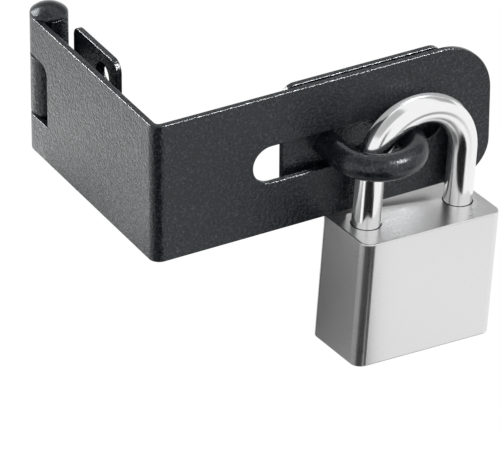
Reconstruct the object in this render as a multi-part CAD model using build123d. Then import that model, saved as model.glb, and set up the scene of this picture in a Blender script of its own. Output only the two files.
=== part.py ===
from build123d import *
import math
import os

# A right-angle hasp and staple with its padlock locked on. All sizes are in millimetres.
# The origin is the middle of the staple plate's mounting face. X runs along the arm's
# slotted leg to its free end, Y points into the wall behind the staple, and Z is up.

# Hasp arm, one folded and rolled sheet
SHEET_T = 1.8
ARM_H = 40.0
ARM_LONG = 100.0
ARM_SHORT = 67.0
ARM_LIFT = 0.25
BEND_R = 3.0
END_R_TOP = 15.0
END_R_BOTTOM = 10.0
SLOT_LENGTH = 56.5
SLOT_CLEAR = 1.75
SLOT_FROM_END = 14.5
SLOT_END_TO_STAPLE = 22.15
SHEET_EDGE_R = 0.35

# Hinge barrel and pin
PIN_D = 6.4
PIN_CLEAR = 0.1
CURL_TURN = 290.0
WINDOW_H = 18.0
WINDOW_SILL = 10.7
WINDOW_REACH = 7.9
WINDOW_R = 3.0
PIN_RIM_H = 0.8
PIN_DOME_H = 2.2
PIN_RIM_R = 1.2
PEEN_H = 1.0
PEEN_MARGIN = 0.5

# Hinge leaf
LEAF_H = 38.0
LEAF_REACH = 31.1
LEAF_SHOULDER = 7.3
LEAF_R = 3.5
SHOULDER_R = 2.5
KNUCKLE_GAP_TOP = 0.4
KNUCKLE_GAP_BOTTOM = 1.0

# Countersunk screw holes
SCREW_HOLE_D = 4.4
SINK_D = 7.2
LEAF_HOLE_FROM_END = 7.6
LEAF_HOLE_FROM_EDGE = 6.9
LEAF_INNER_HOLE_REACH = 15.0
PLATE_HOLES_X = 30.0
PLATE_HOLES_Z = 22.0

# Staple
PLATE_W = 48.0
PLATE_T = 1.8
PLATE_R = 4.0
PLATE_GAP = 1.6
LOOP_D = 7.2
LOOP_SHIFT = -0.9
LOOP_ROOM = 4.65
LOOP_FRONT_ROOM = 3.4
TENON_STEP = 0.9
TENON_CLEAR = 0.05
RIVET_FLARE = 0.8

# Padlock body and shackle
SHACKLE_D = 7.8
SHACKLE_OPENING = 21.4
LEG_CLEAR = 0.25
LEG_CHAMFER = 0.6
TOE_PAST_BALL = 3.5
HEEL_PAST_BALL = 12.5
NECK_D = 5.8
NECK_LENGTH = 7.0
NECK_FROM_END = 3.0
LOCK_WALL = 3.0
LOCK_D = 21.5
LOCK_ROOF_T = 6.5
LOCK_CORNER_R = 3.0
LOCK_EDGE_R = 0.4

# How the padlock hangs on the staple
LOCK_YAW = 4.0
LOCK_LEAN = 4.2
EDGE_CLEAR = 0.5
ARM_CLEAR = 0.7
LOOP_CLEAR = 0.35
BOW_CLEAR = 0.4

# Shackle spring
SPRING_WIRE_D = 0.9
SPRING_D = 5.4
SPRING_LENGTH = 9.0
SPRING_TURNS = 5.0

# Locking balls and the cam between them
BALL_D = 6.4
BALL_BITE = 1.45
BALL_CLEAR = 0.15
BALL_SEAT_CLEAR = 0.05
CAM_H = 9.1
CAM_CLEAR = 0.2
CAM_MARGIN = 4.1
CAM_RECESS = 1.6

# Cylinder: housing, plug and clip
CORE_WALL = 1.0
CORE_CLEAR = 0.05
CORE_RECESS = 0.4
CORE_END = 2.4
PLUG_D = 10.8
PLUG_CLEAR = 0.05
PLUG_TAIL = 1.4
FLANGE_LIP = 0.9
FLANGE_H = 1.2
TANG_W = 2.4
TANG_L = 7.0
TANG_H = 2.0
TANG_CLEAR = 0.1
CLIP_T = 0.6
CLIP_MARGIN = 0.35
CLIP_DEPTH = 0.7
CLIP_MOUTH = 70.0
CLIP_CLEAR = 0.05
KEYWAY_W = 2.2
KEYWAY_L = 7.6
KEYWAY_GROOVE = 0.7

# Wafers and their springs
WAFERS = 6
WAFER_T = 0.9
WAFER_PITCH = 2.4
FIRST_WAFER_RISE = 1.8
WAFER_W = 6.2
WAFER_WINDOW_CLEAR = 0.3
WAFER_WINDOW_L = 6.0
WAFER_CLEAR = 0.1
WAFER_GROOVE = 1.0
LUG_W = 1.3
LUG_L = 0.9
LUG_OFFSET = 1.0
LUG_SPRING_L = 3.0
LUG_SPRING_CLEAR = 0.075
LUG_SPRING_WIRE_D = 0.2
LUG_SPRING_TURNS = 5.0

# Set screw that holds the cylinder in the body
SET_SCREW_D = 3.0
SET_SCREW_CLEAR = 0.05
SET_SCREW_BITE = 1.1
SET_SCREW_FROM_TOP = 3.5
SET_SCREW_SOCKET = 1.5

# How far a cut runs past the face that it opens
OVERCUT = 1.0

# Sizes and places of the hasp and staple that follow
BARREL_R = PIN_D / 2 + PIN_CLEAR + SHEET_T
SLOT_H = LOOP_D + 2 * SLOT_CLEAR
LOOP_SPAN = LOOP_D + SHACKLE_D + LOOP_CLEAR + LOOP_ROOM
LOOP_REACH = PLATE_GAP + SHEET_T + ARM_CLEAR + SHACKLE_D + LOOP_FRONT_ROOM + LOOP_D / 2
TENON_D = LOOP_D - 2 * TENON_STEP
RIVET_D = TENON_D + 2 * RIVET_FLARE
ARM_X = SLOT_END_TO_STAPLE + SLOT_FROM_END - ARM_LONG
ARM_FRONT_Y = -(PLATE_T + PLATE_GAP + SHEET_T)
ARM_BOTTOM_Z = ARM_LIFT - ARM_H / 2
PLATE_H = ARM_H - 2 * ARM_LIFT
ARM_PLACE = Pos(ARM_X, ARM_FRONT_Y, ARM_BOTTOM_Z)
PIN_PLACE = ARM_PLACE * Pos(BARREL_R, ARM_SHORT, 0)

# Sizes of the padlock that follow; heights count from its top face
LEG_R = SHACKLE_D / 2
LEG_HOLE_R = LEG_R + LEG_CLEAR
LEG_SPAN = SHACKLE_OPENING + SHACKLE_D
LOCK_W = LEG_SPAN + 2 * (LEG_HOLE_R + LOCK_WALL)
PLUG_R = PLUG_D / 2
FLANGE_D = PLUG_D + 2 * FLANGE_LIP
CORE_D = PLUG_D + 2 * (WAFER_GROOVE + CORE_WALL)
KEYWAY_H = FLANGE_H + FIRST_WAFER_RISE + (WAFERS - 0.5) * WAFER_PITCH
CAM_TOP = -LOCK_ROOF_T - CAM_CLEAR
CAM_BASE = CAM_TOP - CAM_H
PLUG_TOP = CAM_BASE - TANG_CLEAR
CORE_TOP = PLUG_TOP - PLUG_TAIL
CORE_BASE = CORE_TOP - CORE_END - KEYWAY_H
LOCK_H = CORE_RECESS - CORE_BASE
BALL_DEPTH = CAM_MARGIN - CAM_TOP
BALL_X = LEG_SPAN / 2 - LEG_R + BALL_BITE - BALL_D / 2
CAM_D = 2 * (BALL_X - BALL_SEAT_CLEAR) - BALL_D
SET_SCREW_Z = CORE_TOP - SET_SCREW_FROM_TOP
TOE_LENGTH = BALL_DEPTH + TOE_PAST_BALL
TOE_HOLE_DEPTH = SET_SCREW_D / 2 + OVERCUT - SET_SCREW_Z
HEEL_LENGTH = BALL_DEPTH + HEEL_PAST_BALL
HEEL_HOLE_DEPTH = HEEL_LENGTH + SPRING_LENGTH
WAFER_SLOT_T = WAFER_T + 2 * WAFER_CLEAR
WAFER_Z = [CORE_BASE + FLANGE_H + FIRST_WAFER_RISE + i * WAFER_PITCH for i in range(WAFERS)]
WAFER_WINDOW_W = KEYWAY_W + 2 * WAFER_WINDOW_CLEAR
LUG_SPRING_D = WAFER_SLOT_T - 2 * LUG_SPRING_CLEAR - LUG_SPRING_WIRE_D
LEAN = math.radians(LOCK_LEAN)
YAW = math.radians(LOCK_YAW)


def lock_place():
    """Place of the padlock's top face: clear of the arm's lower edge, its toe leg in the loop."""
    lowest = min(ARM_BOTTOM_Z, -PLATE_H / 2)
    z = lowest - EDGE_CLEAR - LOCK_W / 2 * math.sin(LEAN)
    toe_x = LOOP_SHIFT - LOOP_SPAN / 2 + LOOP_D / 2 + LEG_R + LOOP_CLEAR
    rise = (-z - LEG_SPAN / 2 * math.sin(LEAN)) / math.cos(LEAN)
    x = toe_x + (LEG_SPAN / 2 * math.cos(LEAN) - rise * math.sin(LEAN)) * math.cos(YAW)
    y = ARM_FRONT_Y - ARM_CLEAR - LEG_R - LEG_SPAN / 2 * math.sin(YAW)
    return Vector(x, y, z)


def leg_rise():
    """Height of the bow's centre above the body, where the bow hangs over the loop's far leg."""
    top = lock_place()
    along = Vector(math.sin(LEAN) * math.cos(YAW), 0, math.cos(LEAN))
    to_body = Vector(top.X - LOOP_SHIFT - LOOP_SPAN / 2, 0, top.Z)
    reach = LEG_SPAN / 2 - LEG_R - LOOP_D / 2 - BOW_CLEAR
    half = to_body.dot(along) / along.dot(along)
    rest = (to_body.dot(to_body) - reach**2) / along.dot(along)
    return -half - math.sqrt(half**2 - rest)


LOCK_PLACE = Pos(*lock_place()) * Rot(0, 0, LOCK_YAW) * Rot(0, LOCK_LEAN, 0)
LEG_RISE = leg_rise()


def rod(radius, low, high):
    """Upright round bar between two heights."""
    return Pos(0, 0, low) * Cylinder(radius, high - low, align=(Align.CENTER, Align.CENTER, Align.MIN))


def block(x, y, z):
    """Box between two values on each axis."""
    size = [high - low for low, high in (x, y, z)]
    return Pos(x[0], y[0], z[0]) * Box(*size, align=(Align.MIN, Align.MIN, Align.MIN))


def rolled_knuckle(side, low, high):
    """Sheet rolled round the pin's axis, starting on one side (-1 or 1) where the sheet is tangent."""
    ring = rod(BARREL_R, low, high) - rod(BARREL_R - SHEET_T, low, high)
    mouth = math.radians(360 - CURL_TURN)
    far = 2 * BARREL_R
    fan = [(side * far * math.cos(a), -far * math.sin(a)) for a in (0, mouth / 2, mouth)]
    wedge = extrude(make_face(Polyline((0, 0), *fan, close=True)), high - low)
    return ring - Pos(0, 0, low) * wedge


def countersunk_hole(depth):
    """Screw hole along +Z through a sheet whose near face is at zero, with its sink there."""
    sink_depth = (SINK_D - SCREW_HOLE_D) / 2
    through = rod(SCREW_HOLE_D / 2, -depth, 2 * depth)
    sink = Cone(SINK_D / 2, SCREW_HOLE_D / 2, sink_depth, align=(Align.CENTER, Align.CENTER, Align.MIN))
    return through + sink


def hasp_arm():
    """Folded arm: slotted long leg, plain short leg and two rolled knuckles, from one sheet."""
    long_leg = Pos(0, SHEET_T, 0) * Rot(90, 0, 0) * extrude(arm_outline(), SHEET_T)
    rims = [wire.edges() for face in long_leg.faces().filter_by(Axis.Y) for wire in face.inner_wires()]
    long_leg = fillet([edge for rim in rims for edge in rim], SHEET_EDGE_R)
    short_leg = block((0, SHEET_T), (BEND_R, ARM_SHORT), (0, ARM_H))
    bend = rod(BEND_R, 0, ARM_H) - rod(BEND_R - SHEET_T, 0, ARM_H)
    bend = bend & block((-BEND_R, 0), (-BEND_R, 0), (0, ARM_H))
    barrel = Pos(BARREL_R, ARM_SHORT, 0) * rolled_knuckle(-1, 0, ARM_H)
    arm = long_leg + short_leg + Pos(BEND_R, BEND_R, 0) * bend + barrel
    arm = fillet(arm.edges().group_by(Axis.Z)[-1] + arm.edges().group_by(Axis.Z)[0], SHEET_EDGE_R)
    window = knuckle_window()
    opened = arm - window
    return fillet(new_edges(arm, window, combined=opened), SHEET_EDGE_R)


def arm_outline():
    """Face of the long leg in its own plane: rounded free end and long slot."""
    outline = Pos(BEND_R, 0) * Rectangle(ARM_LONG - BEND_R, ARM_H, align=(Align.MIN, Align.MIN))
    end = outline.vertices().group_by(Axis.X)[-1].sort_by(Axis.Y)
    outline = fillet(end[1], END_R_TOP)
    end = outline.vertices().filter_by(lambda v: v.X > ARM_LONG - SHEET_T and v.Y < SHEET_T)
    outline = fillet(end, END_R_BOTTOM)
    slot_x = ARM_LONG - SLOT_FROM_END - SLOT_LENGTH / 2
    return outline - Pos(slot_x, ARM_H / 2) * SlotOverall(SLOT_LENGTH, SLOT_H)


def knuckle_window():
    """Opening in the arm's barrel for the leaf's knuckle, with one rounded upper corner."""
    start = ARM_SHORT - WINDOW_REACH
    end = ARM_SHORT + 2 * BARREL_R
    face = Pos(start, WINDOW_SILL) * Rectangle(end - start, WINDOW_H, align=(Align.MIN, Align.MIN))
    corner = face.vertices().group_by(Axis.X)[0].sort_by(Axis.Y)[-1]
    face = fillet(corner, WINDOW_R)
    return Pos(-BARREL_R, 0, 0) * extrude(Plane.YZ * face, 4 * BARREL_R)


def hinge_leaf():
    """Leaf behind the short leg, its middle knuckle rolled round the pin."""
    low = WINDOW_SILL + KNUCKLE_GAP_BOTTOM
    high = WINDOW_SILL + WINDOW_H - KNUCKLE_GAP_TOP
    base = (ARM_H - LEAF_H) / 2
    plate = Pos(-LEAF_REACH, base) * Rectangle(
        LEAF_REACH - LEAF_SHOULDER, LEAF_H, align=(Align.MIN, Align.MIN)
    )
    corners = plate.vertices().group_by(Axis.X)
    plate = fillet(corners[0], LEAF_R)
    plate = fillet(plate.vertices().group_by(Axis.X)[-1], SHOULDER_R)
    neck = Pos(-LEAF_SHOULDER - SHEET_T, low) * Rectangle(
        LEAF_SHOULDER + SHEET_T, high - low, align=(Align.MIN, Align.MIN)
    )
    sheet = Pos(BARREL_R - SHEET_T, 0, 0) * extrude(Plane.YZ * (plate + neck), SHEET_T)
    edges = sheet.edges().group_by(Axis.Z)
    sheet = fillet(edges[0] + edges[-1], SHEET_EDGE_R)
    leaf = sheet + rolled_knuckle(1, low, high)
    sink = Pos(BARREL_R - SHEET_T, 0, 0) * Rot(0, 90, 0) * countersunk_hole(SHEET_T)
    for y, z in leaf_holes(base):
        leaf -= Pos(0, y, z) * sink
    return leaf


def leaf_holes(base):
    """Screw places on the leaf, from the pin's axis: two at its free end and one near the barrel."""
    end = LEAF_HOLE_FROM_END - LEAF_REACH
    low = base + LEAF_HOLE_FROM_EDGE
    high = base + LEAF_H - LEAF_HOLE_FROM_EDGE
    return [(end, low), (end, high), (-LEAF_INNER_HOLE_REACH, ARM_H / 2)]


def hinge_pin():
    """Pin through the three knuckles, with a domed head above and a peened head below."""
    shank = rod(PIN_D / 2, 0, ARM_H)
    head = rod(BARREL_R, 0, PIN_RIM_H) + Pos(0, 0, PIN_RIM_H) * spherical_cap(BARREL_R, PIN_DOME_H)
    rings = head.edges().filter_by(lambda edge: edge.is_closed).sort_by(Axis.Z)
    head = fillet(rings[-1], PIN_RIM_R)
    peen = Rot(180, 0, 0) * spherical_cap(BARREL_R - PEEN_MARGIN, PEEN_H)
    return shank + Pos(0, 0, ARM_H) * head + peen


def spherical_cap(radius, height):
    """Cap of a ball on the plane at zero, of a given foot radius and height."""
    ball_r = (radius**2 + height**2) / (2 * height)
    return Pos(0, 0, height - ball_r) * Sphere(ball_r) & rod(2 * radius, 0, 2 * height)


def staple_plate():
    """Plate behind the arm, with four countersunk holes and two rivet holes for the loop."""
    face = RectangleRounded(PLATE_W, PLATE_H, PLATE_R)
    plate = Rot(90, 0, 0) * extrude(face, PLATE_T)
    rims = plate.edges().group_by(Axis.Y)
    plate = fillet(rims[0] + rims[-1], SHEET_EDGE_R)
    hole = Pos(0, -PLATE_T, 0) * Rot(-90, 0, 0) * countersunk_hole(PLATE_T)
    for place in GridLocations(PLATE_HOLES_X, PLATE_HOLES_Z, 2, 2).local_locations:
        plate -= Pos(place.position.X, 0, place.position.Y) * hole
    for side in (-1, 1):
        plate -= Pos(LOOP_SHIFT + side * LOOP_SPAN / 2, 0, 0) * riveted_tenon(TENON_CLEAR)
    return plate


def riveted_tenon(clear):
    """End of the loop through the plate: a plain tenon that flares to a flush rivet at the back."""
    tenon = rod(TENON_D / 2 + clear, 0, PLATE_T)
    rivet = Cone(
        RIVET_D / 2 + clear, TENON_D / 2 + clear, RIVET_FLARE, align=(Align.CENTER, Align.CENTER, Align.MIN)
    )
    return Rot(90, 0, 0) * (tenon + rivet)


def staple_loop():
    """Round bar bent to a U that stands out of the plate, both ends riveted through it."""
    bend_y = LOOP_SPAN / 2 - PLATE_T - LOOP_REACH
    section = Pos(LOOP_SPAN / 2, 0, 0) * Rot(90, 0, 0) * Circle(LOOP_D / 2)
    loop = Pos(0, bend_y, 0) * revolve(section, Axis((0, 0, 0), (0, 0, -1)), 180)
    for side in (-1, 1):
        leg = Rot(90, 0, 0) * rod(LOOP_D / 2, PLATE_T, -bend_y)
        loop += Pos(side * LOOP_SPAN / 2, 0, 0) * (leg + riveted_tenon(0))
    return Pos(LOOP_SHIFT, 0, 0) * loop


def padlock_body():
    """Solid block, bored from above for the shackle and from below for the cylinder."""
    body = extrude(RectangleRounded(LOCK_W, LOCK_D, LOCK_CORNER_R), -LOCK_H)
    rims = body.edges().group_by(Axis.Z)
    body = fillet(rims[0] + rims[-1], LOCK_EDGE_R)
    body -= Pos(-LEG_SPAN / 2, 0, 0) * rod(LEG_HOLE_R, -TOE_HOLE_DEPTH, OVERCUT)
    body -= Pos(LEG_SPAN / 2, 0, 0) * rod(LEG_HOLE_R, -HEEL_HOLE_DEPTH, OVERCUT)
    body -= rod(CORE_D / 2 + CORE_CLEAR, -LOCK_H - OVERCUT, CORE_TOP)
    body -= rod(CAM_D / 2 + CAM_CLEAR, CORE_TOP - OVERCUT, CAM_TOP + CAM_CLEAR)
    ball_way = rod(BALL_D / 2 + BALL_CLEAR, -LEG_SPAN / 2, LEG_SPAN / 2)
    body -= Pos(0, 0, -BALL_DEPTH) * Rot(0, 90, 0) * ball_way
    return body - set_screw_way(SET_SCREW_CLEAR, LEG_SPAN / 2, 0)


def set_screw_way(clear, outer, inner):
    """Round bar along -X at the set screw's height, between two distances from the lock's axis."""
    return Pos(0, 0, SET_SCREW_Z) * Rot(0, -90, 0) * rod(SET_SCREW_D / 2 + clear, inner, outer)


def shackle():
    """Bent round bar: a short toe leg, and a long heel leg with a neck that limits its lift."""
    toe = Pos(-LEG_SPAN / 2, 0, 0) * chamfered_leg(TOE_LENGTH)
    heel = chamfered_leg(HEEL_LENGTH)
    neck_low = NECK_FROM_END - HEEL_LENGTH
    heel -= rod(SHACKLE_D, neck_low, neck_low + NECK_LENGTH) - rod(NECK_D / 2, -HEEL_LENGTH, 0)
    section = Pos(LEG_SPAN / 2, 0, 0) * Circle(LEG_R)
    bow = Pos(0, 0, LEG_RISE) * revolve(section, Axis((0, 0, 0), (0, -1, 0)), 180)
    bar = bow + toe + Pos(LEG_SPAN / 2, 0, 0) * heel
    for side in (-1, 1):
        bar -= Pos(side * BALL_X, 0, -BALL_DEPTH) * Sphere(BALL_D / 2 + BALL_CLEAR)
    return bar


def chamfered_leg(length):
    """Leg of the shackle, from its chamfered end in the body up to the bow."""
    leg = rod(LEG_R, -length, LEG_RISE)
    return chamfer(leg.edges().group_by(Axis.Z)[0], LEG_CHAMFER)


def coil(mean_d, wire_d, low, high, turns):
    """Compression spring along Z between two heights."""
    rise = high - low - wire_d
    path = Pos(0, 0, low + wire_d / 2) * Helix(rise / turns, rise, mean_d / 2)
    section = Plane(path @ 0, z_dir=path % 0) * Circle(wire_d / 2)
    return sweep(section, path)


def shackle_spring():
    """Spring in the heel leg's hole that lifts the shackle when it is freed."""
    wound = coil(SPRING_D, SPRING_WIRE_D, -HEEL_HOLE_DEPTH, -HEEL_LENGTH, SPRING_TURNS)
    return Pos(LEG_SPAN / 2, 0, 0) * wound


def locking_ball(side):
    """Ball between the cam and the notch of one leg."""
    return Pos(side * BALL_X, 0, -BALL_DEPTH) * Sphere(BALL_D / 2)


def locking_cam():
    """Round cam on the plug's tang: full where it blocks the balls, hollowed a quarter turn on."""
    cam = rod(CAM_D / 2, CAM_BASE, CAM_TOP)
    slot_w = TANG_W / 2 + TANG_CLEAR
    slot_l = TANG_L / 2 + TANG_CLEAR
    cam -= block((-slot_w, slot_w), (-slot_l, slot_l), (PLUG_TOP, PLUG_TOP + TANG_H + TANG_CLEAR))
    hollow_y = CAM_D / 2 + BALL_D / 2 - CAM_RECESS
    for side in (-1, 1):
        cam -= Pos(0, side * hollow_y, -BALL_DEPTH) * Sphere(BALL_D / 2 + BALL_CLEAR)
    return cam


def cylinder_housing():
    """Sleeve in the body's lower bore, broached inside with two grooves for the wafers."""
    sleeve = rod(CORE_D / 2, CORE_BASE, CORE_TOP)
    sleeve -= rod(PLUG_R + PLUG_CLEAR, CORE_BASE - OVERCUT, CORE_TOP + OVERCUT)
    sleeve -= rod(FLANGE_D / 2 + PLUG_CLEAR, CORE_BASE - OVERCUT, CORE_BASE + FLANGE_H + PLUG_CLEAR)
    half = WAFER_W / 2 + WAFER_CLEAR
    deep = PLUG_R + WAFER_GROOVE
    sleeve -= block((-half, half), (-deep, deep), (CORE_BASE, CORE_BASE + KEYWAY_H))
    seat = CORE_D / 2 - SET_SCREW_BITE - SET_SCREW_CLEAR
    return sleeve - set_screw_way(SET_SCREW_CLEAR, CORE_D, seat)


def set_screw():
    """Headless screw from the toe leg's hole into the housing, with a square socket."""
    inner = CORE_D / 2 - SET_SCREW_BITE
    outer = LEG_SPAN / 2 - LEG_HOLE_R
    screw = set_screw_way(0, outer, inner)
    socket = Box(SET_SCREW_SOCKET, SET_SCREW_SOCKET, SET_SCREW_SOCKET)
    return screw - Pos(SET_SCREW_SOCKET / 2 - outer, 0, SET_SCREW_Z) * socket


def cylinder_plug():
    """Turning plug: flange and keyway below, wafer slots across it, clip groove and tang above."""
    plug = rod(PLUG_R, CORE_BASE, PLUG_TOP) + rod(FLANGE_D / 2, CORE_BASE, CORE_BASE + FLANGE_H)
    plug += block((-TANG_W / 2, TANG_W / 2), (-TANG_L / 2, TANG_L / 2), (PLUG_TOP, PLUG_TOP + TANG_H))
    groove_low = CORE_TOP + CLIP_CLEAR
    groove = rod(PLUG_D, groove_low, groove_low + CLIP_T + CLIP_CLEAR)
    plug -= groove - rod(PLUG_R - CLIP_DEPTH, CORE_BASE, PLUG_TOP)
    key_z = (CORE_BASE - OVERCUT, CORE_BASE + KEYWAY_H)
    plug -= block((-KEYWAY_W / 2, KEYWAY_W / 2), (-KEYWAY_L / 2, KEYWAY_L / 2), key_z)
    ward = KEYWAY_W / 2 + KEYWAY_GROOVE
    plug -= block((0, ward), (-KEYWAY_W / 2, KEYWAY_W / 2), key_z)
    for z in WAFER_Z:
        plug -= Pos(0, 0, z) * wafer_slot()
    return plug


def wafer_slot():
    """Slot across the plug for one wafer, with a side pocket for its lug and spring."""
    half = WAFER_W / 2 + WAFER_CLEAR
    tall = WAFER_SLOT_T / 2
    across = block((-half, half), (-PLUG_D, PLUG_D), (-tall, tall))
    low = LUG_OFFSET - LUG_SPRING_L - 2 * WAFER_CLEAR
    high = LUG_OFFSET + LUG_L + WAFER_CLEAR
    return across + block((0, half + LUG_W), (low, high), (-tall, tall))


def wafer(z):
    """Flat tumbler at the shear line, with a window for the key and a lug for its spring."""
    half = WAFER_W / 2
    tall = (-WAFER_T / 2, WAFER_T / 2)
    tumbler = block((-half, half), (-PLUG_R, PLUG_R), tall)
    tumbler = tumbler & rod(PLUG_R - WAFER_CLEAR, -WAFER_T, WAFER_T)
    tumbler -= Box(WAFER_WINDOW_W, WAFER_WINDOW_L, 2 * WAFER_T)
    tumbler += block((half - LUG_L, half + LUG_W), (LUG_OFFSET, LUG_OFFSET + LUG_L), tall)
    return Pos(0, 0, z) * tumbler


def wafer_spring(z):
    """Small spring in the plug's side pocket that pushes one wafer's lug."""
    wound = coil(LUG_SPRING_D, LUG_SPRING_WIRE_D, LUG_OFFSET - LUG_SPRING_L, LUG_OFFSET, LUG_SPRING_TURNS)
    return Pos(WAFER_W / 2 + WAFER_CLEAR + LUG_W / 2, 0, z) * Rot(-90, 0, 0) * wound


def plug_clip():
    """Open ring in the plug's groove that keeps the plug from falling out."""
    low = CORE_TOP + CLIP_CLEAR
    inner = PLUG_R - CLIP_DEPTH + CLIP_CLEAR
    ring = rod(PLUG_R + CLIP_MARGIN, low, low + CLIP_T) - rod(inner, low - OVERCUT, low + CLIP_T + OVERCUT)
    half = math.radians(CLIP_MOUTH / 2)
    far = PLUG_D
    fan = [(far * math.cos(a), far * math.sin(a)) for a in (-half, 0, half)]
    mouth = extrude(make_face(Polyline((0, 0), *fan, close=True)), 2 * CLIP_T)
    return ring - Pos(0, 0, low - CLIP_T / 2) * mouth


nodes = {
    "hasp_arm": ARM_PLACE * hasp_arm(),
    "hinge_leaf": PIN_PLACE * hinge_leaf(),
    "hinge_pin": PIN_PLACE * hinge_pin(),
    "staple_plate": staple_plate(),
    "staple_loop": staple_loop(),
    "padlock_body": LOCK_PLACE * padlock_body(),
    "shackle": LOCK_PLACE * shackle(),
    "shackle_spring": LOCK_PLACE * shackle_spring(),
    "locking_ball_toe": LOCK_PLACE * locking_ball(-1),
    "locking_ball_heel": LOCK_PLACE * locking_ball(1),
    "locking_cam": LOCK_PLACE * locking_cam(),
    "cylinder_housing": LOCK_PLACE * cylinder_housing(),
    "cylinder_set_screw": LOCK_PLACE * set_screw(),
    "cylinder_plug": LOCK_PLACE * cylinder_plug(),
    "plug_clip": LOCK_PLACE * plug_clip(),
}
for number, height in enumerate(WAFER_Z, start=1):
    nodes[f"wafer_{number}"] = LOCK_PLACE * wafer(height)
    nodes[f"wafer_spring_{number}"] = LOCK_PLACE * wafer_spring(height)

os.makedirs("parts", exist_ok=True)
for name, solid in nodes.items():
    export_step(solid, f"parts/{name}.step")
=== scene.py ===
"""Studio picture of a right-angle hasp and staple, with its padlock locked on."""

import logging
import math
from dataclasses import dataclass
from enum import Enum
from typing import Any, ClassVar

import bmesh
import bpy
from mathutils import Matrix, Vector

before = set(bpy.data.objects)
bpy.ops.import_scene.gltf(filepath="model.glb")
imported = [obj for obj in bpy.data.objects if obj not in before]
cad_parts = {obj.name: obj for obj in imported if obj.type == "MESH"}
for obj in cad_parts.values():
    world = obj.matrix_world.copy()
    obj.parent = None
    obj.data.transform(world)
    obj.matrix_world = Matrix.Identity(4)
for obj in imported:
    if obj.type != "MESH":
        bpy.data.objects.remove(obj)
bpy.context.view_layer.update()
MM = 0.001
NOISE_MIDDLE = 0.5
LOCK_LEAN = math.radians(4.2)
LOCK_YAW = math.radians(4.0)

log = logging.getLogger("hasp")

Colour = tuple[float, float, float]
Point = tuple[float, float, float]
Extent = tuple[float, float]


class Ray(Enum):
    """Kinds of light path that the room and the floor tell apart."""

    CAMERA = "Is Camera Ray"
    GLOSSY = "Is Glossy Ray"


class Facing(Enum):
    """How a lamp or card is turned: its own -Z axis looks at the object."""

    TRACK = "-Z"
    UP = "Y"


class Aim(Enum):
    """Points on or beside the object that lamps and cards look at, in metres."""

    LOCK = (0.009, -0.011, -0.035)
    LOCK_SIDE = (-0.0125, -0.005, -0.036)
    BOW = (0.009, -0.011, 0.008)
    TOE_LEG = (-0.003, -0.011, -0.008)
    LONG_LEG = (0.015, -0.005, 0.015)
    SHORT_LEG = (-0.0635, 0.04, -0.01)
    BEHIND_BEND = (-0.0558, 0.02935, -0.047)
    SLOT = (0.0, -0.005, 0.0)


class Way(Enum):
    """Directions that lamps and cards look in."""

    AHEAD = (0.0, -1.0, 0.0)
    RIGHT = (1.0, 0.0, 0.0)
    ABOVE = (0.0, 0.0, 1.0)


class Flow:
    """One output of a shader node. Arithmetic on it adds Math nodes."""

    def __init__(self, sheet: "NodeSheet", socket: bpy.types.NodeSocket) -> None:
        """Keeps the node tree and the socket.

        Args:
            sheet: The tree that new Math nodes go into.
            socket: The output that this value stands for.
        """
        self.sheet = sheet
        self.socket = socket

    def _math(self, operation: str, first: Any, second: Any) -> "Flow":
        """Adds one Math node.

        Args:
            operation: The Math node's operation.
            first: Left value, a number or a Flow.
            second: Right value, a number or a Flow.

        Returns:
            The node's result.
        """
        return self.sheet.node("ShaderNodeMath", {"operation": operation}, {0: first, 1: second})

    def __add__(self, other: Any) -> "Flow":
        """Sum."""
        return self._math("ADD", self, other)

    def __radd__(self, other: Any) -> "Flow":
        """Sum, with the number on the left."""
        return self._math("ADD", other, self)

    def __sub__(self, other: Any) -> "Flow":
        """Difference."""
        return self._math("SUBTRACT", self, other)

    def __rsub__(self, other: Any) -> "Flow":
        """Difference, with the number on the left."""
        return self._math("SUBTRACT", other, self)

    def __mul__(self, other: Any) -> "Flow":
        """Product."""
        return self._math("MULTIPLY", self, other)

    def __rmul__(self, other: Any) -> "Flow":
        """Product, with the number on the left."""
        return self._math("MULTIPLY", other, self)

    def step(self, low: float, high: float) -> "Flow":
        """Smooth rise from 0 to 1 between two values.

        Args:
            low: Value where the rise starts.
            high: Value where it ends.

        Returns:
            A value from 0 to 1.
        """
        settings = {"interpolation_type": "SMOOTHSTEP"}
        inputs = {"Value": self, "From Min": low, "From Max": high}
        return self.sheet.node("ShaderNodeMapRange", settings, inputs)


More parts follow.
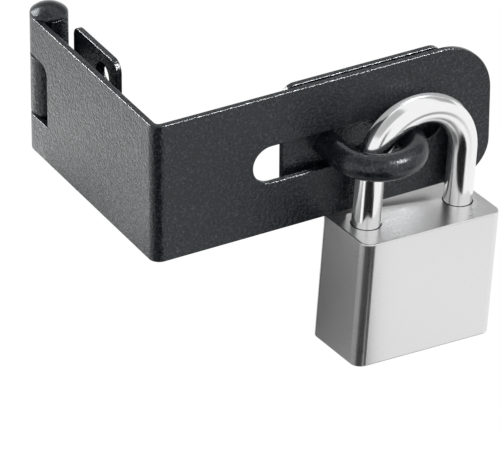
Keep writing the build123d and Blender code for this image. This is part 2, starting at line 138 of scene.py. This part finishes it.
class NodeSheet:
    """A node tree that is written as calls."""

    def __init__(self, tree: bpy.types.NodeTree) -> None:
        """Clears the tree.

        Args:
            tree: Node tree of a material or a world.
        """
        self.tree = tree
        tree.nodes.clear()

    def node(self, kind: str, settings: dict[str, Any] | None = None, inputs: dict[Any, Any] | None = None,
             output: int | str = 0) -> Flow:
        """Adds one node, sets it up, then fills its sockets.

        Args:
            kind: The node's type.
            settings: Attributes of the node.
            inputs: Value or Flow for each input socket, by name or number.
            output: Which output is returned.

        Returns:
            The chosen output, or the first input of a node that ends the tree.
        """
        made = self.tree.nodes.new(kind)
        for name, value in (settings or {}).items():
            setattr(made, name, value)
        for key, value in (inputs or {}).items():
            if isinstance(value, Flow):
                self.tree.links.new(value.socket, made.inputs[key])
            else:
                made.inputs[key].default_value = value
        return Flow(self, made.outputs[output] if len(made.outputs) else made.inputs[0])

    def object_coords(self, turn: Point = (0.0, 0.0, 0.0), scale: Point = (1.0, 1.0, 1.0)) -> Flow:
        """Object coordinates in metres, turned and stretched.

        Args:
            turn: Turn about each axis, in radians.
            scale: Stretch of each axis.

        Returns:
            The coordinates.
        """
        place = self.node("ShaderNodeTexCoord", output="Object")
        return self.node("ShaderNodeMapping", {"vector_type": "POINT"},
                         {"Vector": place, "Rotation": turn, "Scale": scale})

    def noise(self, coords: Flow, size: float, detail: float = 2.0, roughness: float = 0.5) -> Flow:
        """Noise with a given feature size.

        Args:
            coords: Coordinates in metres.
            size: Feature size in metres.
            detail: Number of octaves.
            roughness: Weight of the finer octaves.

        Returns:
            A value about NOISE_MIDDLE.
        """
        inputs = {"Vector": coords, "Scale": 1.0 / size, "Detail": detail, "Roughness": roughness}
        return self.node("ShaderNodeTexNoise", {"noise_dimensions": "3D"}, inputs)

    def mix_colour(self, factor: Flow, low: Colour, high: Colour) -> Flow:
        """Blend of two colours.

        Args:
            factor: Share of the second colour.
            low: Colour at 0.
            high: Colour at 1.

        Returns:
            The blend.
        """
        settings = {"data_type": "RGBA", "clamp_factor": True}
        inputs = {0: factor, 6: (*low, 1.0), 7: (*high, 1.0)}
        return self.node("ShaderNodeMix", settings, inputs, output=2)

    def bump(self, height: Flow, depth: float) -> Flow:
        """Normal of a relief.

        Args:
            height: Height from 0 to 1.
            depth: Depth of the relief in metres.

        Returns:
            The normal.
        """
        return self.node("ShaderNodeBump", None, {"Height": height, "Distance": depth, "Strength": 1.0})

    def surface(self, inputs: dict[str, Any]) -> None:
        """Ends a material in one Principled shader.

        Args:
            inputs: Value or Flow for each of the shader's sockets.
        """
        shader = self.node("ShaderNodeBsdfPrincipled", None, inputs)
        self.node("ShaderNodeOutputMaterial", None, {"Surface": shader})


def new_material(name: str) -> tuple[bpy.types.Material, NodeSheet]:
    """Makes an empty node material.

    Args:
        name: The material's name.

    Returns:
        The material and its node sheet.
    """
    material = bpy.data.materials.new(name)
    material.use_nodes = True
    return material, NodeSheet(material.node_tree)


def darker(colour: Colour, share: float) -> Colour:
    """The given share of a colour."""
    return tuple(share * part for part in colour)


def grey(tone: float) -> tuple[float, float, float, float]:
    """Opaque grey of a given tone."""
    return (tone, tone, tone, 1.0)


@dataclass(frozen=True)
class PowderCoat:
    """Black powder coat with a fine sandy grain whose tips glint."""

    name: str = "black_powder_coat"
    dark: Colour = (0.0056, 0.0084, 0.012)
    glint: Colour = (0.082, 0.092, 0.1)
    tip_range: Extent = (0.5, 0.68)
    grain: float = 0.76 * MM
    grain_share: float = 0.92
    peel: float = 1.6 * MM
    peel_share: float = 0.08
    depth: float = 0.24 * MM
    roughness: float = 0.22
    unevenness: float = 0.1
    refraction: float = 1.5

    def build(self) -> bpy.types.Material:
        """Makes the coat's material.

        Returns:
            The material.
        """
        material, sheet = new_material(self.name)
        coords = sheet.object_coords()
        grain = sheet.noise(coords, self.grain, detail=2.0, roughness=0.6)
        peel = sheet.noise(coords, self.peel)
        tips = grain.step(*self.tip_range)
        sheet.surface({
            "Base Color": sheet.mix_colour(tips, self.dark, self.glint),
            "Metallic": tips,
            "Roughness": self.roughness + self.unevenness * (peel - NOISE_MIDDLE),
            "Normal": sheet.bump(self.grain_share * grain + self.peel_share * peel, self.depth),
            "IOR": self.refraction,
        })
        return material


@dataclass(frozen=True)
class PolishedSteel:
    """Polished bar with faint draw lines."""

    name: str = "polished_steel"
    colour: Colour = (0.9, 0.9, 0.905)
    shade: float = 0.96
    roughness: float = 0.16
    unevenness: float = 0.05
    haze: float = 3.0 * MM
    line: float = 0.12 * MM
    depth: float = 0.0012 * MM

    def build(self) -> bpy.types.Material:
        """Makes the polished bar's material.

        Returns:
            The material.
        """
        material, sheet = new_material(self.name)
        coords = sheet.object_coords()
        haze = sheet.noise(coords, self.haze)
        lines = sheet.noise(coords, self.line, detail=1.0)
        sheet.surface({
            "Base Color": sheet.mix_colour(haze, darker(self.colour, self.shade), self.colour),
            "Roughness": self.roughness + self.unevenness * (haze - NOISE_MIDDLE),
            "Metallic": 1.0,
            "Normal": sheet.bump(lines, self.depth),
        })
        return material


@dataclass(frozen=True)
class SatinSteel:
    """Satin block with a fine brushed grain that runs along the lock's width."""

    name: str = "satin_stainless"
    turn: Point = (0.0, -LOCK_LEAN, -LOCK_YAW)
    colour: Colour = (0.785, 0.785, 0.787)
    shade: float = 0.95
    roughness: float = 0.29
    brush: float = 0.16 * MM
    brush_share: float = 0.6
    brush_unevenness: float = 0.08
    stretch: float = 0.03
    cloud: float = 9.0 * MM
    cloud_share: float = 0.4
    cloud_unevenness: float = 0.04
    depth: float = 0.0006 * MM

    def build(self) -> bpy.types.Material:
        """Makes the satin block's material.

        Returns:
            The material.
        """
        material, sheet = new_material(self.name)
        brushed = sheet.object_coords(self.turn, (self.stretch, 1.0, 1.0))
        lines = sheet.noise(brushed, self.brush, detail=2.0, roughness=0.6)
        cloud = sheet.noise(sheet.object_coords(), self.cloud)
        tint = self.brush_share * lines + self.cloud_share * cloud
        brush_change = self.brush_unevenness * (lines - NOISE_MIDDLE)
        cloud_change = self.cloud_unevenness * (cloud - NOISE_MIDDLE)
        sheet.surface({
            "Base Color": sheet.mix_colour(tint, darker(self.colour, self.shade), self.colour),
            "Roughness": self.roughness + brush_change + cloud_change,
            "Metallic": 1.0,
            "Normal": sheet.bump(lines, self.depth),
        })
        return material


@dataclass(frozen=True)
class MachinedMetal:
    """Turned or stamped metal of the lock's inner pieces."""

    name: str
    colour: Colour
    roughness: float
    shade: float = 0.85
    unevenness: float = 0.12
    mark: float = 0.25 * MM
    depth: float = 0.004 * MM

    def build(self) -> bpy.types.Material:
        """Makes the machined metal's material.

        Returns:
            The material.
        """
        material, sheet = new_material(self.name)
        marks = sheet.noise(sheet.object_coords(), self.mark, detail=3.0, roughness=0.6)
        sheet.surface({
            "Base Color": sheet.mix_colour(marks, darker(self.colour, self.shade), self.colour),
            "Roughness": self.roughness + self.unevenness * (marks - NOISE_MIDDLE),
            "Metallic": 1.0,
            "Normal": sheet.bump(marks, self.depth),
        })
        return material


class SubAssembly:
    """Pieces of the object that are made and fitted together."""

    title: ClassVar[str]

    def finish(self, material: bpy.types.Material, *nodes: str) -> None:
        """Gives some pieces one finish.

        Args:
            material: The finish.
            nodes: Names of the pieces.
        """
        for node in nodes:
            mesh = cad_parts[node].data
            mesh.materials.clear()
            mesh.materials.append(material)
            log.info("%s: %s in %s", self.title, node, material.name)


@dataclass
class Hasp(SubAssembly):
    """Slotted arm and its leaf, on the hinge pin."""

    title: ClassVar[str] = "hasp"
    sheet_coat: bpy.types.Material
    pin_coat: bpy.types.Material

    def dress(self) -> None:
        """Coats the arm, the leaf and the pin."""
        self.finish(self.sheet_coat, "hasp_arm", "hinge_leaf")
        self.finish(self.pin_coat, "hinge_pin")


@dataclass
class Staple(SubAssembly):
    """Plate behind the arm, and the loop that is riveted through it."""

    title: ClassVar[str] = "staple"
    plate_coat: bpy.types.Material
    loop_coat: bpy.types.Material

    def dress(self) -> None:
        """Coats the plate and the loop."""
        self.finish(self.plate_coat, "staple_plate")
        self.finish(self.loop_coat, "staple_loop")


@dataclass
class Padlock(SubAssembly):
    """Block and shackle, with the pieces that hold the shackle down."""

    title: ClassVar[str] = "padlock"
    block_metal: bpy.types.Material
    shackle_metal: bpy.types.Material
    inner_metal: bpy.types.Material

    def dress(self) -> None:
        """Finishes the block, the shackle and the inner pieces."""
        self.finish(self.block_metal, "padlock_body")
        self.finish(self.shackle_metal, "shackle")
        self.finish(self.inner_metal, "shackle_spring", "locking_ball_toe", "locking_ball_heel",
                    "locking_cam", "cylinder_set_screw", "plug_clip")


@dataclass
class Cylinder(SubAssembly):
    """Housing and plug of the lock, with its wafers and their springs."""

    title: ClassVar[str] = "cylinder"
    turned_metal: bpy.types.Material
    spring_metal: bpy.types.Material
    wafers: int = 6

    def dress(self) -> None:
        """Finishes the housing, the plug, the wafers and the springs."""
        numbers = range(1, self.wafers + 1)
        self.finish(self.turned_metal, "cylinder_housing", "cylinder_plug", *(f"wafer_{i}" for i in numbers))
        self.finish(self.spring_metal, *(f"wafer_spring_{i}" for i in numbers))


@dataclass
class PhotoCamera:
    """Long-lens camera that stands where the photographer's did."""

    name: str = "photo_camera"
    place: Point = (-0.63868, -1.07455, 0.71407)
    yaw: float = math.radians(29.433)
    pitch: float = math.radians(30.795)
    roll: float = math.radians(0.299)
    lens: float = 399.25
    sensor: float = 36.0
    near: float = 0.05
    far: float = 50.0

    def build(self) -> bpy.types.Object:
        """Makes the camera and hands it to the scene.

        Returns:
            The camera.
        """
        data = bpy.data.cameras.new(self.name)
        data.lens = self.lens
        data.sensor_width = self.sensor
        data.clip_start = self.near
        data.clip_end = self.far
        camera = bpy.data.objects.new(self.name, data)
        camera.matrix_world = Matrix.Translation(Vector(self.place)) @ self.turn()
        bpy.context.scene.collection.objects.link(camera)
        bpy.context.scene.camera = camera
        return camera

    def turn(self) -> Matrix:
        """Turn of the camera, from its yaw, pitch and roll.

        Returns:
            The turn as a matrix.
        """
        ahead = Vector((math.sin(self.yaw) * math.cos(self.pitch),
                        math.cos(self.yaw) * math.cos(self.pitch), -math.sin(self.pitch)))
        level = Vector((math.cos(self.yaw), -math.sin(self.yaw), 0.0))
        down = ahead.cross(level)
        right = math.cos(self.roll) * level - math.sin(self.roll) * down
        up = -(math.sin(self.roll) * level + math.cos(self.roll) * down)
        return Matrix((right, up, -ahead)).transposed().to_4x4()


def sheet_object(name: str, shape: bmesh.types.BMesh, material: bpy.types.Material) -> bpy.types.Object:
    """Makes an object of the studio from its finished shape.

    Args:
        name: The object's name.
        shape: Its shape, which is used up.
        material: Its material.

    Returns:
        The object, in the scene.
    """
    mesh = bpy.data.meshes.new(name)
    shape.to_mesh(mesh)
    shape.free()
    mesh.materials.append(material)
    made = bpy.data.objects.new(name, mesh)
    bpy.context.scene.collection.objects.link(made)
    return made


@dataclass
class Panel:
    """Flat rectangle that looks at a point or in a direction."""

    name: str
    place: Point
    look: Aim | Way
    size: Extent
    tone: float

    def matrix(self) -> Matrix:
        """Place and turn of the panel.

        Returns:
            Its world matrix.
        """
        place = Vector(self.place)
        ahead = Vector(self.look.value)
        if isinstance(self.look, Aim):
            ahead -= place
        turn = ahead.to_track_quat(Facing.TRACK.value, Facing.UP.value)
        return Matrix.Translation(place) @ turn.to_matrix().to_4x4()


@dataclass
class SoftLamp(Panel):
    """Softbox that lights all pieces without shine, or a panel that gives the shine of some pieces only."""

    only: tuple[str, ...] = ()

    def build(self) -> bpy.types.Object:
        """Makes the lamp.

        Returns:
            The lamp.
        """
        data = bpy.data.lights.new(self.name, "AREA")
        data.shape = "RECTANGLE"
        data.size, data.size_y = self.size
        data.energy = self.tone * math.pi * self.size[0] * self.size[1]
        lamp = bpy.data.objects.new(self.name, data)
        lamp.matrix_world = self.matrix()
        lamp.visible_camera = False
        lamp.visible_diffuse = not self.only
        lamp.visible_glossy = bool(self.only)
        if self.only:
            lamp.light_linking.receiver_collection = self.receivers()
        bpy.context.scene.collection.objects.link(lamp)
        return lamp

    def receivers(self) -> bpy.types.Collection:
        """Collects the pieces that the lamp shines on.

        Returns:
            Their collection.
        """
        chosen = bpy.data.collections.new(self.name)
        for node in self.only:
            chosen.objects.link(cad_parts[node])
        return chosen


@dataclass
class ReflectionCard(Panel):
    """Plain card beside the object that only its reflections show, as a studio's flags and bounces do."""

    soft: Extent = (0.04, 0.04)

    def build(self) -> bpy.types.Object:
        """Makes the card.

        Returns:
            The card.
        """
        shape = bmesh.new()
        shape.loops.layers.uv.new("UVMap")
        bmesh.ops.create_grid(shape, x_segments=1, y_segments=1, size=0.5, calc_uvs=True)
        bmesh.ops.scale(shape, vec=(*self.size, 1.0), verts=shape.verts)
        bmesh.ops.transform(shape, matrix=self.matrix(), verts=shape.verts)
        bmesh.ops.reverse_faces(shape, faces=shape.faces)
        card = sheet_object(self.name, shape, self.soft_glow())
        card.visible_camera = False
        card.visible_diffuse = False
        card.visible_shadow = False
        return card

    def soft_glow(self) -> bpy.types.Material:
        """Makes a glow that fades at the card's edges and is clear from behind.

        Returns:
            The material.
        """
        material, sheet = new_material(self.name)
        glow = sheet.node("ShaderNodeEmission", None, {"Color": grey(self.tone), "Strength": 1.0})
        clear = sheet.node("ShaderNodeBsdfTransparent")
        front = 1.0 - sheet.node("ShaderNodeNewGeometry", output="Backfacing")
        place = sheet.node("ShaderNodeTexCoord", output="UV")
        for axis, soft in zip("XY", self.soft):
            across = sheet.node("ShaderNodeSeparateXYZ", None, {0: place}, output=axis)
            front = front * across.step(0.0, soft) * (1.0 - across).step(0.0, soft)
        one_sided = sheet.node("ShaderNodeMixShader", None, {0: front, 1: clear, 2: glow})
        sheet.node("ShaderNodeOutputMaterial", None, {"Surface": one_sided})
        return material


@dataclass
class Floor:
    """Pale floor well below the object, which hangs on a wall."""

    name: str = "floor"
    height: float = -0.32
    half: float = 6.0
    tone: float = 0.8
    backdrop_glow: float = 1.05
    backdrop_share: float = 0.9

    def build(self) -> bpy.types.Object:
        """Makes the floor.

        Returns:
            The floor.
        """
        shape = bmesh.new()
        bmesh.ops.create_grid(shape, x_segments=1, y_segments=1, size=self.half)
        bmesh.ops.translate(shape, vec=(0.0, 0.0, self.height), verts=shape.verts)
        floor = sheet_object(self.name, shape, self.pale_matt())
        floor.visible_glossy = False
        return floor

    def pale_matt(self) -> bpy.types.Material:
        """Makes a matt tone that the camera sees as a nearly white backdrop.

        Returns:
            The material.
        """
        material, sheet = new_material(self.name)
        matt = sheet.node("ShaderNodeBsdfDiffuse", None, {"Color": grey(self.tone)})
        white = sheet.node("ShaderNodeEmission", None, {"Color": grey(1.0), "Strength": self.backdrop_glow})
        seen = sheet.node("ShaderNodeLightPath", output=Ray.CAMERA.value)
        mixed = sheet.node("ShaderNodeMixShader", None, {0: self.backdrop_share * seen, 1: matt, 2: white})
        sheet.node("ShaderNodeOutputMaterial", None, {"Surface": mixed})
        return material


@dataclass
class Studio:
    """White room with a floor, cards for the reflections, softboxes, and panels for the shine."""

    ambient: float = 0.6
    shine: float = 1.0
    coated: tuple[str, ...] = ("hasp_arm", "hinge_leaf", "staple_plate")

    def build(self) -> None:
        """Makes the whole studio."""
        self.build_room()
        Floor().build()
        cards = self.lock_cards() + self.arm_cards() + self.shackle_cards()
        lamps = self.softboxes() + self.coat_panels() + self.lock_panels()
        for panel in cards + lamps:
            panel.build()
            log.info("studio: %s", panel.name)

    def build_room(self) -> None:
        """Makes the white surroundings, with their own level for what the camera and the shine see."""
        world = bpy.data.worlds.new("white_room")
        bpy.context.scene.world = world
        world.use_nodes = True
        sheet = NodeSheet(world.node_tree)
        camera = sheet.node("ShaderNodeLightPath", output=Ray.CAMERA.value)
        glossy = sheet.node("ShaderNodeLightPath", output=Ray.GLOSSY.value)
        strength = self.ambient + (1.0 - self.ambient) * camera + (self.shine - self.ambient) * glossy
        room = sheet.node("ShaderNodeBackground", None, {"Color": grey(1.0), "Strength": strength})
        sheet.node("ShaderNodeOutputWorld", None, {"Surface": room})

    def lock_cards(self) -> list[Panel]:
        """Cards round the block: what its faces and its upright edge reflect.

        Returns:
            The cards.
        """
        return [
            ReflectionCard("dark_flag_front", (-0.324, -0.388, -0.362), Aim.LOCK,
                           (1.1, 0.72), 0.008, (0.17, 0.2)),
            ReflectionCard("dark_flag_lock", (-0.0483, 0.050, -0.057), Aim.LOCK_SIDE,
                           (0.078, 0.1), 0.0, (0.42, 0.3)),
            ReflectionCard("grey_flag_lock", (-0.078, 0.0295, -0.089), Aim.LOCK,
                           (0.20, 0.085), 0.25, (0.06, 0.1)),
            ReflectionCard("dark_bench", (-0.015, 0.055, -0.0245), Way.ABOVE, (0.09, 0.11), 0.006),
            ReflectionCard("grey_ground", (0.009, -0.011, -0.2), Way.ABOVE, (0.35, 0.35), 0.22, (0.3, 0.3)),
        ]

    def arm_cards(self) -> list[Panel]:
        """Cards round the arm: what its two legs and its bend reflect.

        Returns:
            The cards.
        """
        return [
            ReflectionCard("grey_flag_arm", (0.095, -0.125, -0.048), Aim.LONG_LEG,
                           (0.12, 0.07), 0.2, (0.5, 0.5)),
            ReflectionCard("white_bounce_arm", (-0.127, 0.157, -0.154), Way.RIGHT,
                           (0.34, 0.18), 3.4, (0.15, 0.33)),
            ReflectionCard("dark_flag_corner", (-0.0042, -0.0391, -0.047), Aim.BEHIND_BEND,
                           (0.012, 0.06), 0.01, (0.2, 0.1)),
        ]

    def shackle_cards(self) -> list[Panel]:
        """Cards that the shackle's bow and legs reflect.

        Returns:
            The cards.
        """
        return [
            ReflectionCard("dark_strip", (-0.174, -0.464, 0.112), Aim.BOW, (0.18, 0.44), 0.02, (0.5, 0.35)),
            ReflectionCard("grey_sky", (0.386, 0.439, 0.389), Aim.BOW, (1.9, 0.55), 0.42, (0.1, 0.2)),
            ReflectionCard("grey_ceiling", (-0.361, -0.076, 0.714), Aim.BOW, (0.9, 0.9), 0.5, (0.1, 0.1)),
        ]

    def softboxes(self) -> list[Panel]:
        """Softboxes that light every piece.

        Returns:
            The lamps.
        """
        return [
            SoftLamp("front_softbox", (0.30, -0.36, 0.52), Aim.SLOT, (0.22, 0.22), 8.0),
            SoftLamp("left_softbox", (-0.42, 0.52, 0.32), Aim.SHORT_LEG, (0.25, 0.25), 6.0),
            SoftLamp("back_softbox", (0.36, 0.62, 0.44), Aim.SLOT, (0.4, 0.4), 1.5),
        ]

    def coat_panels(self) -> list[Panel]:
        """Panels that make the coat's edges, the pin's dome and the loop shine.

        Returns:
            The lamps.
        """
        return [
            SoftLamp("arris_front", (0.31, -0.37, 0.53), Aim.SLOT, (0.24, 0.24), 80.0, self.coated),
            SoftLamp("arris_left", (-0.40, 0.50, 0.30), Aim.SHORT_LEG, (0.24, 0.24), 45.0, self.coated),
            SoftLamp("dome_panel", (-0.40, 0.50, 0.30), Aim.SHORT_LEG, (0.5, 0.5), 7.0, ("hinge_pin",)),
            SoftLamp("loop_spark", (0.30, -0.36, 0.52), Aim.SLOT, (0.13, 0.13), 100.0, ("staple_loop",)),
        ]

    def lock_panels(self) -> list[Panel]:
        """Small panels in front of the arm that make the block's top and the shackle shine.

        Returns:
            The lamps.
        """
        block = ("padlock_body",)
        bar = ("shackle",)
        return [
            SoftLamp("top_bounce", (0.01295, -0.0054, -0.0136), Way.AHEAD, (0.0391, 0.0152), 0.45, block),
            SoftLamp("bow_bounce", (0.017, -0.0054, 0.0125), Way.AHEAD, (0.038, 0.017), 0.38, bar),
            SoftLamp("leg_bounce", (-0.0215, -0.0054, -0.017), Way.AHEAD, (0.027, 0.014), 0.08, bar),
            SoftLamp("shackle_strip", (-0.046, -0.028, -0.036), Aim.TOE_LEG, (0.014, 0.05), 1.0, bar),
        ]


def main() -> None:
    """Builds the finishes, dresses the pieces and sets up the studio."""
    logging.basicConfig(level=logging.INFO, format="%(name)s: %(message)s")
    coat = PowderCoat().build()
    bar_coat = PowderCoat("black_powder_coat_bar", depth=0.06 * MM).build()
    polished = PolishedSteel().build()
    satin = SatinSteel().build()
    brass = MachinedMetal("cylinder_brass", (0.72, 0.53, 0.25), 0.3).build()
    steel = MachinedMetal("plain_steel", (0.56, 0.56, 0.57), 0.32).build()
    Hasp(coat, bar_coat).dress()
    Staple(coat, bar_coat).dress()
    Padlock(satin, polished, steel).dress()
    Cylinder(brass, steel).dress()
    PhotoCamera().build()
    Studio().build()
    bpy.context.scene.view_settings.view_transform = "Standard"


if __name__ == "__main__":
    main()
